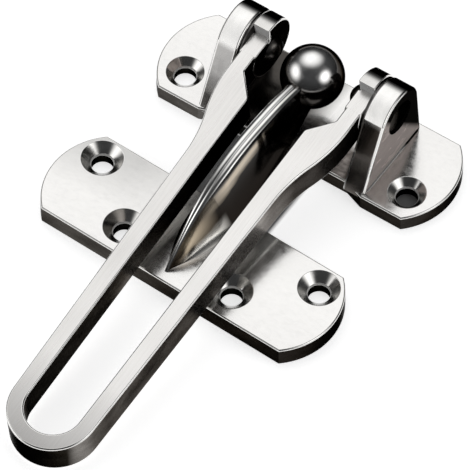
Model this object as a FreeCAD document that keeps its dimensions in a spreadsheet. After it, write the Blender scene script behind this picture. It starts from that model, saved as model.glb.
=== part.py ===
import FreeCAD, Part
import math
import os

import Sketcher

# A swing bar door guard: a hinge bracket for the frame, a slotted bar that swings on it, and a
# keeper with a ball on a keel for the door. Millimetres; +Z stands off the mounting plane, +Y runs
# from the bar's loop to the hinge, and the origin is the middle of the hinge bracket's back face.

DIMENSIONS = {
    # both plates: half length over the rounded ends, half length of the straight edges, width
    "plate_reach": 36.0,
    "plate_corner": 30.9,
    "plate_width": 23.2,
    "plate_edge": 0.4,
    "bracket_thick": 3.9,
    "keeper_thick": 4.7,
    # the bracket's front edge steps back between its ears
    "setback": 1.5,
    "setback_half": 16.5,
    "jog_half": 20.7,
    # countersunk screw holes
    "screw_hole": 4.8,
    "sink_angle": 90.0,
    "bracket_sink": 8.2,
    "bracket_hole_x": 28.3,
    "bracket_hole_in": 6.4,
    "keeper_sink": 9.1,
    "keeper_outer_x": 28.3,
    "keeper_outer_in": 17.9,
    "keeper_inner_x": 14.0,
    "keeper_inner_in": 6.5,
    # hinge axis and the ears that carry it
    "hinge_back": 2.6,
    "hinge_height": 16.4,
    "ear_round": 7.0,
    "ear_inner": 15.9,
    "ear_outer": 21.1,
    "ear_front_angle": 155.2,
    "ear_back_angle": 6.0,
    "ear_root": 1.0,
    "ear_edge": 0.6,
    # hinge pins, their recesses and the washers
    "pin_radius": 2.5,
    "pin_fit": 0.02,
    "pin_clearance": 0.06,
    "recess_radius": 4.1,
    "recess_depth": 1.6,
    "head_radius": 3.7,
    "head_thick": 1.1,
    "dome_radius": 2.9,
    "dome_length": 2.1,
    "dome_gap": 0.15,
    "washer_radius": 6.2,
    "washer_thick": 0.5,
    "washer_clearance": 0.15,
    # swing bar
    "bar_length": 107.5,
    "bar_depth": 8.0,
    "bar_edge": 0.6,
    "rest_tilt": 6.6,
    "loop_half": 9.95,
    "loop_wall": 3.8,
    "slot_half": 6.35,
    "slot_end_half": 7.1,
    "waist_half": 11.3,
    "waist_back": 33.5,
    "arm_half": 15.2,
    "flare_back": 10.5,
    "window_half": 11.6,
    "step_front": 14.9,
    "step_back": 9.7,
    "step_round": 1.3,
    "window_round": 0.9,
    # knuckles at the ends of the bar's arms
    "knuckle_inner": 11.3,
    "knuckle_outer": 15.4,
    "knuckle_wall": 0.3,
    "knuckle_edge": 0.4,
    "groove_width": 0.6,
    "groove_depth": 0.9,
    "arm_end_round": 1.4,
    # keel and ball of the keeper, set out from the keeper's front edge
    "keel_tip": 2.2,
    "keel_tip_half": 0.35,
    "keel_root": 1.2,
    "crest_at": 39.0,
    "crest_height": 20.8,
    "rise_power": 2.6,
    "crest_drop": 2.0,
    "ridge_half": 1.5,
    "keel_half": 6.2,
    "widest_at": 22.0,
    "bow_power": 2.2,
    "neck_at": 52.0,
    "neck_half": 3.0,
    "neck_bottom": 14.2,
    "flank_curl": 1.35,
    "ball_at": 54.4,
    "ball_height": 16.6,
    "ball_radius": 6.95,
    # where the keeper lies: its ball nearly on the hinge axis, its plate turned a little about it
    "ball_back": 1.1,
    "keeper_turn": 2.2,
}

KEEL_STATIONS = (2.2, 4.5, 8.0, 13.0, 19.0, 26.0, 34.0, 43.0, 52.0)


class Size:
    """A length worked out from the sheet: its value now, and the expression that keeps it bound."""

    def __init__(self, value, text):
        self.value = value
        self.text = text

    @staticmethod
    def of(other):
        return other if isinstance(other, Size) else Size(float(other), repr(float(other)))

    def __add__(self, other):
        other = Size.of(other)
        return Size(self.value + other.value, f"({self.text} + {other.text})")

    def __sub__(self, other):
        other = Size.of(other)
        return Size(self.value - other.value, f"({self.text} - {other.text})")

    def __mul__(self, other):
        other = Size.of(other)
        return Size(self.value * other.value, f"({self.text} * {other.text})")

    def __truediv__(self, other):
        other = Size.of(other)
        return Size(self.value / other.value, f"({self.text} / {other.text})")

    def __pow__(self, other):
        other = Size.of(other)
        return Size(self.value ** other.value, f"pow({self.text}; {other.text})")

    def __neg__(self):
        return Size(0.0, "0") - self


def cosine(angle):
    return Size(math.cos(math.radians(angle.value)), f"cos({angle.text} * 1 deg)")


def sine(angle):
    return Size(math.sin(math.radians(angle.value)), f"sin({angle.text} * 1 deg)")


def arc_radius(chord, rise):
    """Radius of the arc that stands `rise` high over a chord."""
    return (chord * chord / 4 + rise * rise) / (rise * 2)


doc = FreeCAD.newDocument("DoorGuard")
sheet = doc.addObject("Spreadsheet::Sheet", "Sheet")
for row, (alias, number) in enumerate(DIMENSIONS.items(), start=1):
    sheet.set(f"A{row}", alias)
    sheet.set(f"B{row}", str(number))
    sheet.setAlias(f"B{row}", alias)
doc.recompute()


def dim(alias):
    return Size(float(sheet.get(alias)), f"Sheet.{alias}")


def bind(feature, path, size):
    feature.setExpression(path, size.text)


def new_body(label):
    body = doc.addObject("PartDesign::Body", label)
    body.Label = label
    return body


def origin_plane(body, role):
    return next(item for item in body.Origin.OriginFeatures if item.Role == role)


def new_sketch(body, name, role, base=(None, None, None)):
    """A sketch on one of the body's origin planes, shifted by sizes along its own axes."""
    sketch = body.newObject("Sketcher::SketchObject", name)
    sketch.AttachmentSupport = [(origin_plane(body, role), "")]
    sketch.MapMode = "FlatFace"
    for axis, size in zip("xyz", base):
        if size is not None:
            bind(sketch, f"AttachmentOffset.Base.{axis}", size)
    doc.recompute()
    return sketch


def datum(sketch, kind, elements, size):
    index = sketch.addConstraint(Sketcher.Constraint(kind, *elements, size.value))
    bind(sketch, f"Constraints[{index}]", size)


def pin_point(sketch, edge, end, x, y):
    """Holds one end of an edge at sizes x, y from the sketch's origin."""
    for kind, axis, size in (("DistanceX", -2, x), ("DistanceY", -1, y)):
        if size.value == 0:
            sketch.addConstraint(Sketcher.Constraint("PointOnObject", edge, end, axis))
        else:
            datum(sketch, kind, (-1, 1, edge, end), size)


def outline(sketch, corners):
    """Closed chain of corners (x, y) or (x, y, radius, turn): an arc leaves the corner with that
    radius, turning left for +1 and right for -1; otherwise a straight edge does."""
    places = [FreeCAD.Vector(Size.of(c[0]).value, Size.of(c[1]).value, 0) for c in corners]
    ends = []
    for index, corner in enumerate(corners):
        start = places[index]
        finish = places[(index + 1) % len(corners)]
        if len(corner) == 2:
            edge = sketch.addGeometry(Part.LineSegment(start, finish))
            ends.append((edge, 1, 2))
            continue
        radius, turn = corner[2].value, corner[3]
        chord = finish - start
        side = FreeCAD.Vector(-chord.y, chord.x, 0).normalize() * turn
        reach = math.sqrt(max(radius ** 2 - (chord.Length / 2) ** 2, 0.0))
        centre = (start + finish) * 0.5 + side * reach
        first, last = (start, finish) if turn > 0 else (finish, start)
        angles = [math.atan2(p.y - centre.y, p.x - centre.x) for p in (first, last)]
        circle = Part.Circle(centre, FreeCAD.Vector(0, 0, 1), radius)
        edge = sketch.addGeometry(Part.ArcOfCircle(circle, *angles))
        ends.append((edge, 1, 2) if turn > 0 else (edge, 2, 1))
    for index, (edge, start, finish) in enumerate(ends):
        following = ends[(index + 1) % len(ends)]
        sketch.addConstraint(Sketcher.Constraint("Coincident", edge, finish, following[0], following[1]))
    for corner, (edge, start, finish) in zip(corners, ends):
        pin_point(sketch, edge, start, Size.of(corner[0]), Size.of(corner[1]))
        if len(corner) > 2:
            datum(sketch, "Radius", (edge,), corner[2])


def circles(sketch, places, radius):
    """Circles of one radius round each of the places."""
    for x, y in places:
        x, y = Size.of(x), Size.of(y)
        centre = FreeCAD.Vector(x.value, y.value, 0)
        edge = sketch.addGeometry(Part.Circle(centre, FreeCAD.Vector(0, 0, 1), radius.value))
        pin_point(sketch, edge, 3, x, y)
        datum(sketch, "Radius", (edge,), radius)


def pad(body, name, sketch, length, both_ways=False):
    feature = body.newObject("PartDesign::Pad", name)
    feature.Profile = sketch
    feature.SideType = "Symmetric" if both_ways else "One side"
    bind(feature, "Length", length)
    doc.recompute()
    return feature


def pocket(body, name, sketch, length=None):
    """Cuts against the sketch's normal by a length, or right through both ways without one."""
    before = body.Shape.Volume
    feature = body.newObject("PartDesign::Pocket", name)
    feature.Profile = sketch
    if length is None:
        feature.Type = "ThroughAll"
        feature.SideType = "Symmetric"
    else:
        bind(feature, "Length", length)
    doc.recompute()
    if body.Shape.Volume >= before:
        raise RuntimeError(f"{name} cuts nothing")
    return feature


def mirrored(body, name, features):
    """Copies features of the +X side to the -X side."""
    feature = body.newObject("PartDesign::Mirrored", name)
    feature.Originals = features
    feature.MirrorPlane = (origin_plane(body, "YZ_Plane"), [""])
    body.Tip = feature
    doc.recompute()
    return feature


def rounded(body, name, wanted, radius):
    """Rounds the edges of the body's shape that `wanted` picks."""
    base = body.Tip
    names = [f"Edge{i}" for i, edge in enumerate(base.Shape.Edges, start=1) if wanted(edge)]
    feature = body.newObject("PartDesign::Fillet", name)
    feature.Base = (base, names)
    bind(feature, "Radius", radius)
    doc.recompute()
    return feature


def screw_holes(body, name, places, top, sink):
    """Countersunk holes right through a plate."""
    sketch = new_sketch(body, name + "Centres", "XY_Plane", (None, None, top))
    circles(sketch, places, dim("screw_hole") / 2)
    doc.recompute()
    hole = body.newObject("PartDesign::Hole", name)
    hole.Profile = sketch
    hole.DepthType = "ThroughAll"
    hole.HoleCutType = "Countersink"
    hole.HoleCutCustomValues = True
    bind(hole, "Diameter", dim("screw_hole"))
    bind(hole, "HoleCutDiameter", sink)
    bind(hole, "HoleCutCountersinkAngle", dim("sink_angle"))
    doc.recompute()
    return hole


def at_height(height):
    """Picks edges that lie flat at one height."""
    return lambda edge: max(abs(v.Z - height) for v in edge.Vertexes) < 1e-6


def plate_ends():
    """The arcs that close both plates' ends, as corner entries for the right and left."""
    corner, half = dim("plate_corner"), dim("plate_width") / 2
    radius = arc_radius(dim("plate_width"), dim("plate_reach") - corner)
    return [(corner, -half, radius, 1), (corner, half), (-corner, half, radius, 1)]


def make_bracket():
    """Hinge bracket: one casting of a D-ended plate and two gusset ears that hold the pins."""
    body = new_body("hinge_bracket")
    half, thick = dim("plate_width") / 2, dim("bracket_thick")
    front = -half
    back_step = front + dim("setback")

    sketch = new_sketch(body, "BracketOutline", "XY_Plane")
    outline(sketch, [(-dim("plate_corner"), front)] + plate_ends())
    pad(body, "BracketPlate", sketch, thick)
    rounded(body, "BracketPlateEdge", at_height(thick.value), dim("plate_edge"))

    axis_y, axis_z, radius = dim("hinge_back"), dim("hinge_height"), dim("ear_round")
    foot = thick - dim("ear_root")
    front_y = axis_y + radius * cosine(dim("ear_front_angle"))
    front_z = axis_z + radius * sine(dim("ear_front_angle"))
    back_y = axis_y + radius * cosine(dim("ear_back_angle"))
    back_z = axis_z + radius * sine(dim("ear_back_angle"))
    front_lean = sine(dim("ear_front_angle")) / cosine(dim("ear_front_angle"))
    back_lean = sine(dim("ear_back_angle")) / cosine(dim("ear_back_angle"))
    sketch = new_sketch(body, "EarProfile", "YZ_Plane", (None, None, dim("ear_inner")))
    outline(sketch, [
        (front_y + (front_z - foot) * front_lean, foot),
        (front_y, front_z, radius, -1),
        (axis_y, axis_z + radius, radius, -1),
        (back_y, back_z),
        (back_y + (back_z - foot) * back_lean, foot),
    ])
    ear = pad(body, "Ear", sketch, dim("ear_outer") - dim("ear_inner"))

    sketch = new_sketch(body, "PinRecessCircle", "YZ_Plane", (None, None, dim("ear_outer")))
    circles(sketch, [(axis_y, axis_z)], dim("recess_radius"))
    recess = pocket(body, "PinRecess", sketch, dim("recess_depth"))
    mirrored(body, "EarPair", [ear, recess])

    def ear_rim(edge):
        side = abs(edge.CenterOfMass.x)
        on_face = any(abs(side - dim(name).value) < 1e-3 for name in ("ear_inner", "ear_outer"))
        round_recess = edge.Curve.TypeId == "Part::GeomCircle" and len(edge.Vertexes) == 1
        return on_face and not round_recess and edge.BoundBox.ZMax > thick.value + 1

    rounded(body, "EarEdge", ear_rim, dim("ear_edge"))

    jog, step = dim("jog_half"), dim("setback_half")
    sketch = new_sketch(body, "FrontStepOutline", "XY_Plane", (None, None, thick))
    outline(sketch, [
        (-jog, front - dim("setback")), (jog, front - dim("setback")), (jog, front),
        (step, back_step), (-step, back_step), (-jog, front),
    ])
    pocket(body, "FrontStep", sketch, thick)

    sketch = new_sketch(body, "PinBoreCircle", "YZ_Plane")
    circles(sketch, [(axis_y, axis_z)], dim("pin_radius") + dim("pin_fit"))
    pocket(body, "PinBore", sketch)

    hole_y = front + dim("bracket_hole_in")
    places = [(-dim("bracket_hole_x"), hole_y), (dim("bracket_hole_x"), hole_y)]
    screw_holes(body, "BracketHoles", places, thick, dim("bracket_sink"))
    return body


def keel_section(body, number, station):
    """One cross section of the keel: a narrow ridge on top, and flanks that curve in on their way
    down to the plate, or to the keel's own underside where it reaches out past the plate."""
    half, thick = dim("plate_width") / 2, dim("keeper_thick")
    tip, crest_at, widest = dim("keel_tip"), dim("crest_at"), dim("widest_at")
    ahead = Size.of(station)

    if station <= crest_at.value:
        fall = (crest_at - ahead) / (crest_at - tip)
        ridge = dim("crest_height") - (dim("crest_height") - thick) * fall ** dim("rise_power")
    else:
        fall = (ahead - crest_at) / (dim("neck_at") - crest_at)
        ridge = dim("crest_height") - dim("crest_drop") * fall ** 2
    root = thick - dim("keel_root")
    if station <= widest.value:
        narrowing = (widest - ahead) / (widest - tip)
        swell = dim("keel_half") - dim("keel_tip_half")
        flank = dim("keel_half") - swell * narrowing ** dim("bow_power")
        bottom = root
    else:
        along = (ahead - widest) / (dim("neck_at") - widest)
        flank = dim("keel_half") - (dim("keel_half") - dim("neck_half")) * along
        bottom = root + (dim("neck_bottom") - root) * along
    full = min((station - tip.value) / (widest.value - tip.value), 1.0)
    top = dim("keel_tip_half") * 0.8 + (dim("ridge_half") - dim("keel_tip_half") * 0.8) * full
    drop, spread = ridge - bottom, flank - top
    curl = (drop * drop + spread * spread) ** 0.5 * dim("flank_curl")

    sketch = new_sketch(body, f"KeelSection{number}", "XZ_Plane", (None, None, half - ahead))
    outline(sketch, [(top, ridge, curl, 1), (flank, bottom), (-flank, bottom, curl, 1), (-top, ridge)])
    return sketch


def make_keeper():
    """Ball keeper: one casting of a D-ended plate and a keel that carries a ball out to the hinge."""
    body = new_body("ball_keeper")
    half, thick = dim("plate_width") / 2, dim("keeper_thick")
    front = -half

    sketch = new_sketch(body, "KeeperOutline", "XY_Plane")
    outline(sketch, [(-dim("plate_corner"), front)] + plate_ends())
    pad(body, "KeeperPlate", sketch, thick)
    rounded(body, "KeeperPlateEdge", at_height(thick.value), dim("plate_edge"))

    sections = [keel_section(body, i, station) for i, station in enumerate(KEEL_STATIONS, start=1)]
    doc.recompute()
    keel = body.newObject("PartDesign::AdditiveLoft", "Keel")
    keel.Profile = sections[0]
    keel.Sections = sections[1:]
    doc.recompute()

    sketch = new_sketch(body, "BallHalf", "YZ_Plane", (front + dim("ball_at"), dim("ball_height"), None))
    radius = dim("ball_radius")
    outline(sketch, [(0, -radius, radius, 1), (radius, 0, radius, 1), (0, radius)])
    ball = body.newObject("PartDesign::Revolution", "Ball")
    ball.Profile = sketch
    ball.ReferenceAxis = (sketch, ["V_Axis"])
    ball.Angle = 360
    doc.recompute()

    outer_y, inner_y = front + dim("keeper_outer_in"), front + dim("keeper_inner_in")
    outer_x, inner_x = dim("keeper_outer_x"), dim("keeper_inner_x")
    places = [(-outer_x, outer_y), (outer_x, outer_y), (-inner_x, inner_y), (inner_x, inner_y)]
    screw_holes(body, "KeeperHoles", places, thick, dim("keeper_sink"))

    turn, reach = dim("keeper_turn"), front + dim("ball_at")
    rotation = FreeCAD.Rotation(FreeCAD.Vector(0, 0, -1), turn.value)
    body.Placement = FreeCAD.Placement(FreeCAD.Vector(0, 0, 0), rotation)
    bind(body, "Placement.Rotation.Angle", turn)
    bind(body, "Placement.Base.x", -(reach * sine(turn)))
    bind(body, "Placement.Base.y", dim("ball_back") - reach * cosine(turn))
    return body


def make_bar():
    """Swing bar: one casting of a slotted loop whose arms flare out to two round knuckles. It is
    drawn flat about its hinge axis, and its placement tilts the loop's end down to the surface."""
    body = new_body("swing_bar")
    length, depth = dim("bar_length"), dim("bar_depth")
    top = depth / 2

    loop, slot = dim("loop_half"), dim("slot_half")
    waist, arm, window = dim("waist_half"), dim("arm_half"), dim("window_half")
    loop_y = loop - length
    slot_end_y = dim("loop_wall") - length
    slot_y = slot_end_y + slot
    waist_y, flare_y = -dim("waist_back"), -dim("flare_back")
    middle_x, middle_y = (waist + arm) / 2, (waist_y + flare_y) / 2
    half_run, half_rise = (flare_y - waist_y) / 2, (arm - waist) / 2
    sweep = (half_run * half_run + half_rise * half_rise) / (half_rise * 2)
    step_x, step_y, window_y = dim("slot_end_half"), -dim("step_front"), -dim("step_back")

    sketch = new_sketch(body, "BarOutline", "XY_Plane")
    outline(sketch, [
        (arm, 0), (arm, flare_y, sweep, -1), (middle_x, middle_y, sweep, 1), (waist, waist_y),
        (loop, loop_y, loop, -1), (0, -length, loop, -1), (-loop, loop_y),
        (-waist, waist_y, sweep, 1), (-middle_x, middle_y, sweep, -1), (-arm, flare_y), (-arm, 0),
        (-window, 0), (-window, window_y), (-step_x, step_y), (-slot, slot_y, slot, 1),
        (0, slot_end_y, slot, 1), (slot, slot_y), (step_x, step_y), (window, window_y), (window, 0),
    ])
    pad(body, "BarBlank", sketch, depth, both_ways=True)

    def upright_at(x, y):
        def wanted(edge):
            spot = edge.CenterOfMass
            return abs(abs(spot.x) - x.value) < 1e-3 and abs(spot.y - y.value) < 1e-3 and abs(spot.z) < 1e-3
        return wanted

    rounded(body, "SlotMouthRound", upright_at(step_x, step_y), dim("step_round"))
    rounded(body, "WindowRound", upright_at(window, window_y), dim("window_round"))
    both_faces = lambda edge: at_height(top.value)(edge) or at_height(-top.value)(edge)
    rounded(body, "BarEdge", both_faces, dim("bar_edge"))

    inner, outer, radius = dim("knuckle_inner"), dim("knuckle_outer"), dim("ear_round")
    sketch = new_sketch(body, "KnuckleCircle", "YZ_Plane", (None, None, inner))
    circles(sketch, [(0, 0)], radius)
    knuckle = pad(body, "Knuckle", sketch, outer - inner)

    wall, groove_y = -dim("knuckle_wall"), -(dim("knuckle_wall") + dim("groove_width"))
    margin = dim("knuckle_edge")
    corner = dim("arm_end_round")
    sketch = new_sketch(body, "ArmEndGroove", "XY_Plane", (None, None, top))
    side_y = groove_y - corner
    outline(sketch, [
        (inner - margin, wall), (inner - margin, side_y), (window, side_y, corner, -1),
        (window + corner, groove_y), (arm - corner, groove_y, corner, -1), (arm, side_y),
        (outer + margin, side_y), (outer + margin, wall),
    ])
    groove = pocket(body, "ArmEnd", sketch, dim("groove_depth"))
    mirrored(body, "KnucklePair", [knuckle, groove])

    sketch = new_sketch(body, "KnuckleNotch", "YZ_Plane")
    ahead, above = -(radius + margin), radius + margin
    outline(sketch, [(ahead, top), (wall, top), (wall, above), (ahead, above)])
    pocket(body, "KnuckleWall", sketch)

    sketch = new_sketch(body, "BarBoreCircle", "YZ_Plane")
    circles(sketch, [(0, 0)], dim("pin_radius") + dim("pin_clearance"))
    pocket(body, "BarBore", sketch)

    tilt = FreeCAD.Rotation(FreeCAD.Vector(1, 0, 0), dim("rest_tilt").value)
    body.Placement = FreeCAD.Placement(FreeCAD.Vector(0, 0, 0), tilt)
    bind(body, "Placement.Base.y", dim("hinge_back"))
    bind(body, "Placement.Base.z", dim("hinge_height"))
    bind(body, "Placement.Rotation.Angle", dim("rest_tilt"))
    return body


def on_hinge_side(body, turn):
    """Puts a piece drawn about the X axis on the hinge axis, turned about Z for the other side."""
    rotation = FreeCAD.Rotation(FreeCAD.Vector(0, 0, 1), turn)
    body.Placement = FreeCAD.Placement(FreeCAD.Vector(0, 0, 0), rotation)
    bind(body, "Placement.Base.y", dim("hinge_back"))
    bind(body, "Placement.Base.z", dim("hinge_height"))


def make_pin(label, turn):
    """Hinge pin: a rivet with a flat head sunk in the ear and a domed end inside the knuckle."""
    body = new_body(label)
    seat = dim("ear_outer") - dim("recess_depth")
    face = seat + dim("head_thick")
    dome = dim("knuckle_inner") - dim("dome_gap")
    tip = dome - dim("dome_length")
    bulge = arc_radius(dim("dome_radius") * 2, dim("dome_length"))
    sketch = new_sketch(body, label + "_profile", "XY_Plane")
    outline(sketch, [
        (face, 0), (face, dim("head_radius")), (seat, dim("head_radius")), (seat, dim("pin_radius")),
        (dome, dim("pin_radius")), (dome, dim("dome_radius"), bulge, 1), (tip, 0),
    ])
    turned = body.newObject("PartDesign::Revolution", label + "_turned")
    turned.Profile = sketch
    turned.ReferenceAxis = (sketch, ["H_Axis"])
    turned.Angle = 360
    doc.recompute()
    on_hinge_side(body, turn)
    return body


def make_washer(label, turn):
    """Thin washer between an ear and the bar's knuckle."""
    body = new_body(label)
    start = dim("ear_inner") - dim("washer_thick")
    sketch = new_sketch(body, label + "_ring", "YZ_Plane", (None, None, start))
    circles(sketch, [(0, 0)], dim("washer_radius"))
    circles(sketch, [(0, 0)], dim("pin_radius") + dim("washer_clearance"))
    pad(body, label + "_disc", sketch, dim("washer_thick"))
    on_hinge_side(body, turn)
    return body


def main():
    pieces = [make_bracket(), make_keeper(), make_bar()]
    for side, turn in (("right", 0), ("left", 180)):
        pieces.append(make_pin(f"{side}_hinge_pin", turn))
        pieces.append(make_washer(f"{side}_washer", turn))
    doc.recompute()

    for item in doc.Objects:
        if {"Invalid", "Error"} & set(item.State):
            raise RuntimeError(f"{item.Label} failed to build: {item.State}")
    for body in pieces:
        if body.Shape.isNull() or not body.Shape.isValid():
            raise RuntimeError(f"{body.Label} has no valid shape")

    os.makedirs("parts", exist_ok=True)
    for body in pieces:
        body.Shape.exportStep(f"parts/{body.Label}.step")
        box = body.Shape.BoundBox
        print(body.Label, len(body.Shape.Solids), "solid", round(body.Shape.Volume, 1), "mm3", box)


main()
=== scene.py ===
import math

import bpy
import numpy as np
from mathutils import Matrix, Vector
from mathutils.geometry import tessellate_polygon


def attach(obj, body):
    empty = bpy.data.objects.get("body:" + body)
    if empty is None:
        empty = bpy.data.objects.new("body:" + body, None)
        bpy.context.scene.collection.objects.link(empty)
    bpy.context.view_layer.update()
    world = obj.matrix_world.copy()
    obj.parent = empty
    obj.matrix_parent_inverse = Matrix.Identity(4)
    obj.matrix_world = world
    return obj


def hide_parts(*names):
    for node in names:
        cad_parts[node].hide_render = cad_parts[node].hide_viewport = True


# A swing bar door guard in satin nickel. Every piece is a set of surface patches worked out in
# millimetres with numpy, welded into one mesh that keeps each patch's own normals, and then put in
# the shared frame in metres.

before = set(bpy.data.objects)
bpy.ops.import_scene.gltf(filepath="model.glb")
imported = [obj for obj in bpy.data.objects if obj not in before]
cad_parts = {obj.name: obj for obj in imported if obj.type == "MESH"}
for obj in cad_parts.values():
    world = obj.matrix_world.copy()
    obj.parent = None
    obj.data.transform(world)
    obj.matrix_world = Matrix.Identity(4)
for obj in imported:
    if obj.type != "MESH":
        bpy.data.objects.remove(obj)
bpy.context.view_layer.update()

MM = 0.001
RIGHT, LEFT, BACK, FRONT, UP, DOWN = (1, 0, 0), (-1, 0, 0), (0, 1, 0), (0, -1, 0), (0, 0, 1), (0, 0, -1)
ON_AXIS = (0, 0)

# steps of round shapes
TURN_STEPS, SMALL_TURN_STEPS, BALL_STEPS, BALL_ROWS, DOME_ROWS = 96, 64, 128, 65, 18
BEND_STEPS, END_STEPS, LOOP_STEPS, SLOT_STEPS, EAR_STEPS, KNUCKLE_STEPS = 24, 48, 72, 60, 60, 120
EDGE_STEPS, KNUCKLE_EDGE_STEPS, EASE_STEPS, LIP_STEPS, FOOT_STEPS = 7, 5, 8, 5, 6
NOSE_STATIONS, KEEL_STATIONS, FLANK_STEPS, RIDGE_STEPS, UNDER_STEPS = 50, 70, 28, 33, 9
WELD_DIGITS, SAME_POINT = 4, 1e-6

# plates
REACH, CORNER, HALF = 36.0, 30.9, 11.6
END_RADIUS = (HALF ** 2 + (REACH - CORNER) ** 2) / (2 * (REACH - CORNER))
BRACKET_TOP, KEEPER_TOP, PLATE_EDGE = 3.9, 4.7, 0.4
HOLE, BRACKET_SINK, KEEPER_SINK, SINK_ROUND = 2.4, 4.1, 4.55, 0.7
SINK_LIP, LIP_ROUND = 0.12, 0.3
OUTER_HOLE, INNER_HOLE = 28.3, 14.0
BRACKET_HOLE_Y, KEEPER_OUTER_Y, KEEPER_INNER_Y = 6.4 - HALF, 17.9 - HALF, 6.5 - HALF
SETBACK, SETBACK_HALF, JOG_HALF = 1.5, 16.5, 20.7

# hinge
AXIS = np.array([0.0, 2.6, 16.4])
EAR_INNER, EAR_OUTER, EAR_ROUND, EAR_EDGE, EAR_BORE = 15.9, 21.1, 7.0, 0.6, 2.52
EAR_FRONT, EAR_BACK, EAR_SUNK = math.radians(155.2), math.radians(6.0), 1.0
EAR_SOFT_STEPS, EAR_SOFT = 40, 0.05
RECESS_RADIUS, RECESS_FLOOR = 4.1, 19.5
FOOT_ROUND, FOOT_START, FOOT_FULL = 0.35, 0.4, 1.6

# swing bar
LENGTH, TOP, TILT, BAR_EDGE = 107.5, 4.0, math.radians(6.6), 0.4
LOOP, LOOP_WALL, SLOT = 9.95, 3.8, 6.35
WAIST, WAIST_Y, ARM, FLARE_Y = 11.3, -33.5, 15.2, -10.5
WINDOW, WINDOW_Y, STEP, STEP_Y = 11.6, -9.7, 7.1, -14.9
WINDOW_ROUND, STEP_ROUND = 0.9, 1.3
KNUCKLE_INNER, KNUCKLE_OUTER, KNUCKLE = 11.3, 15.4, 7.0
KNUCKLE_EDGE, KNUCKLE_BORE, FLAT_RISE = 0.3, 2.56, 0.02
WALL_Y, GROOVE_Y, GROOVE_DEPTH = -0.3, -0.9, 0.9
KNUCKLE_BLEND = ((-0.05, 0.999), (-0.25, 0.968))

# keeper
BALL_AT, BALL_HEIGHT, BALL = 54.4, 16.6, 6.95
BALL_BACK, KEEPER_TURN = 1.1, math.radians(2.2)
KEEL_TIP, KEEL_WIDEST, KEEL_CREST, KEEL_NECK, KEEL_END = 2.2, 22.0, 39.0, 52.0, 53.0
CREST_HEIGHT, CLIMB_POWER, NECK_DIP = 20.8, 2.6, 2.0
FOOT_HALF, FOOT_GROWTH, SWELL_POWER, FOOT_TAPER = 6.2, 5.85, 2.2, 3.2
KEEL_ROOT, NECK_BOTTOM = KEEPER_TOP - 1.2, 14.2
RIDGE_TIP, RIDGE_GROWTH, RIDGE_LEAN = 0.28, 1.22, 0.3
KEEL_HOLLOW, BEAD, BEAD_FADE = 1.35, 0.13, 2.0
KEEL_NOSE, NOSE_POWER, KEEL_SPAN = 20.0, 1.6, 55.0

# pins and washers
PIN_HEAD, PIN_HEAD_TALL, PIN_CHAMFER, PIN_SHANK = 3.7, 1.1, 0.25, 2.5
PIN_DOME, PIN_DOME_TALL, DOME_GAP = 2.9, 2.1, 0.15
WASHER, WASHER_BORE, WASHER_THICK = 6.2, 2.65, 0.5


class Axes:
    """A right-handed set of axes: maps (u, v, h) in millimetres to the shared frame."""

    def __init__(self, origin, u, v):
        self.origin = np.asarray(origin, float)
        u, v = np.asarray(u, float), np.asarray(v, float)
        self.basis = np.stack([u, v, np.cross(u, v)])

    def place(self, local):
        """Points in these axes as points in the frame."""
        return self.origin + local @ self.basis

    def turn(self, local):
        """Directions in these axes as directions in the frame."""
        return local @ self.basis


PLAN = Axes((0, 0, 0), RIGHT, BACK)
HINGE_SIDE = Axes(AXIS, BACK, UP)
BAR_ALONG = np.array([0.0, math.cos(TILT), math.sin(TILT)])
BAR_UP = np.array([0.0, -math.sin(TILT), math.cos(TILT)])
BAR_PLAN = Axes(AXIS, RIGHT, BAR_ALONG)
BAR_SIDE = Axes(AXIS, BAR_ALONG, BAR_UP)
KEEPER_ACROSS = np.array([math.cos(KEEPER_TURN), -math.sin(KEEPER_TURN), 0.0])
KEEPER_ALONG = np.array([math.sin(KEEPER_TURN), math.cos(KEEPER_TURN), 0.0])
KEEPER_MIDDLE = np.array([0, BALL_BACK, 0]) - (BALL_AT - HALF) * KEEPER_ALONG
KEEPER_PLAN = Axes(KEEPER_MIDDLE, KEEPER_ACROSS, KEEPER_ALONG)


def stacked(*parts):
    """Numbers and grids stretched to one grid, and stacked as the coordinates of its points."""
    return np.stack(np.broadcast_arrays(*parts), axis=-1)


def raised(flat, height):
    """Points or directions in a plane, given a height above it."""
    return stacked(flat[..., 0], flat[..., 1], height)


def rays(angle):
    """Unit directions in a plane at given angles."""
    return stacked(np.cos(angle), np.sin(angle))


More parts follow.
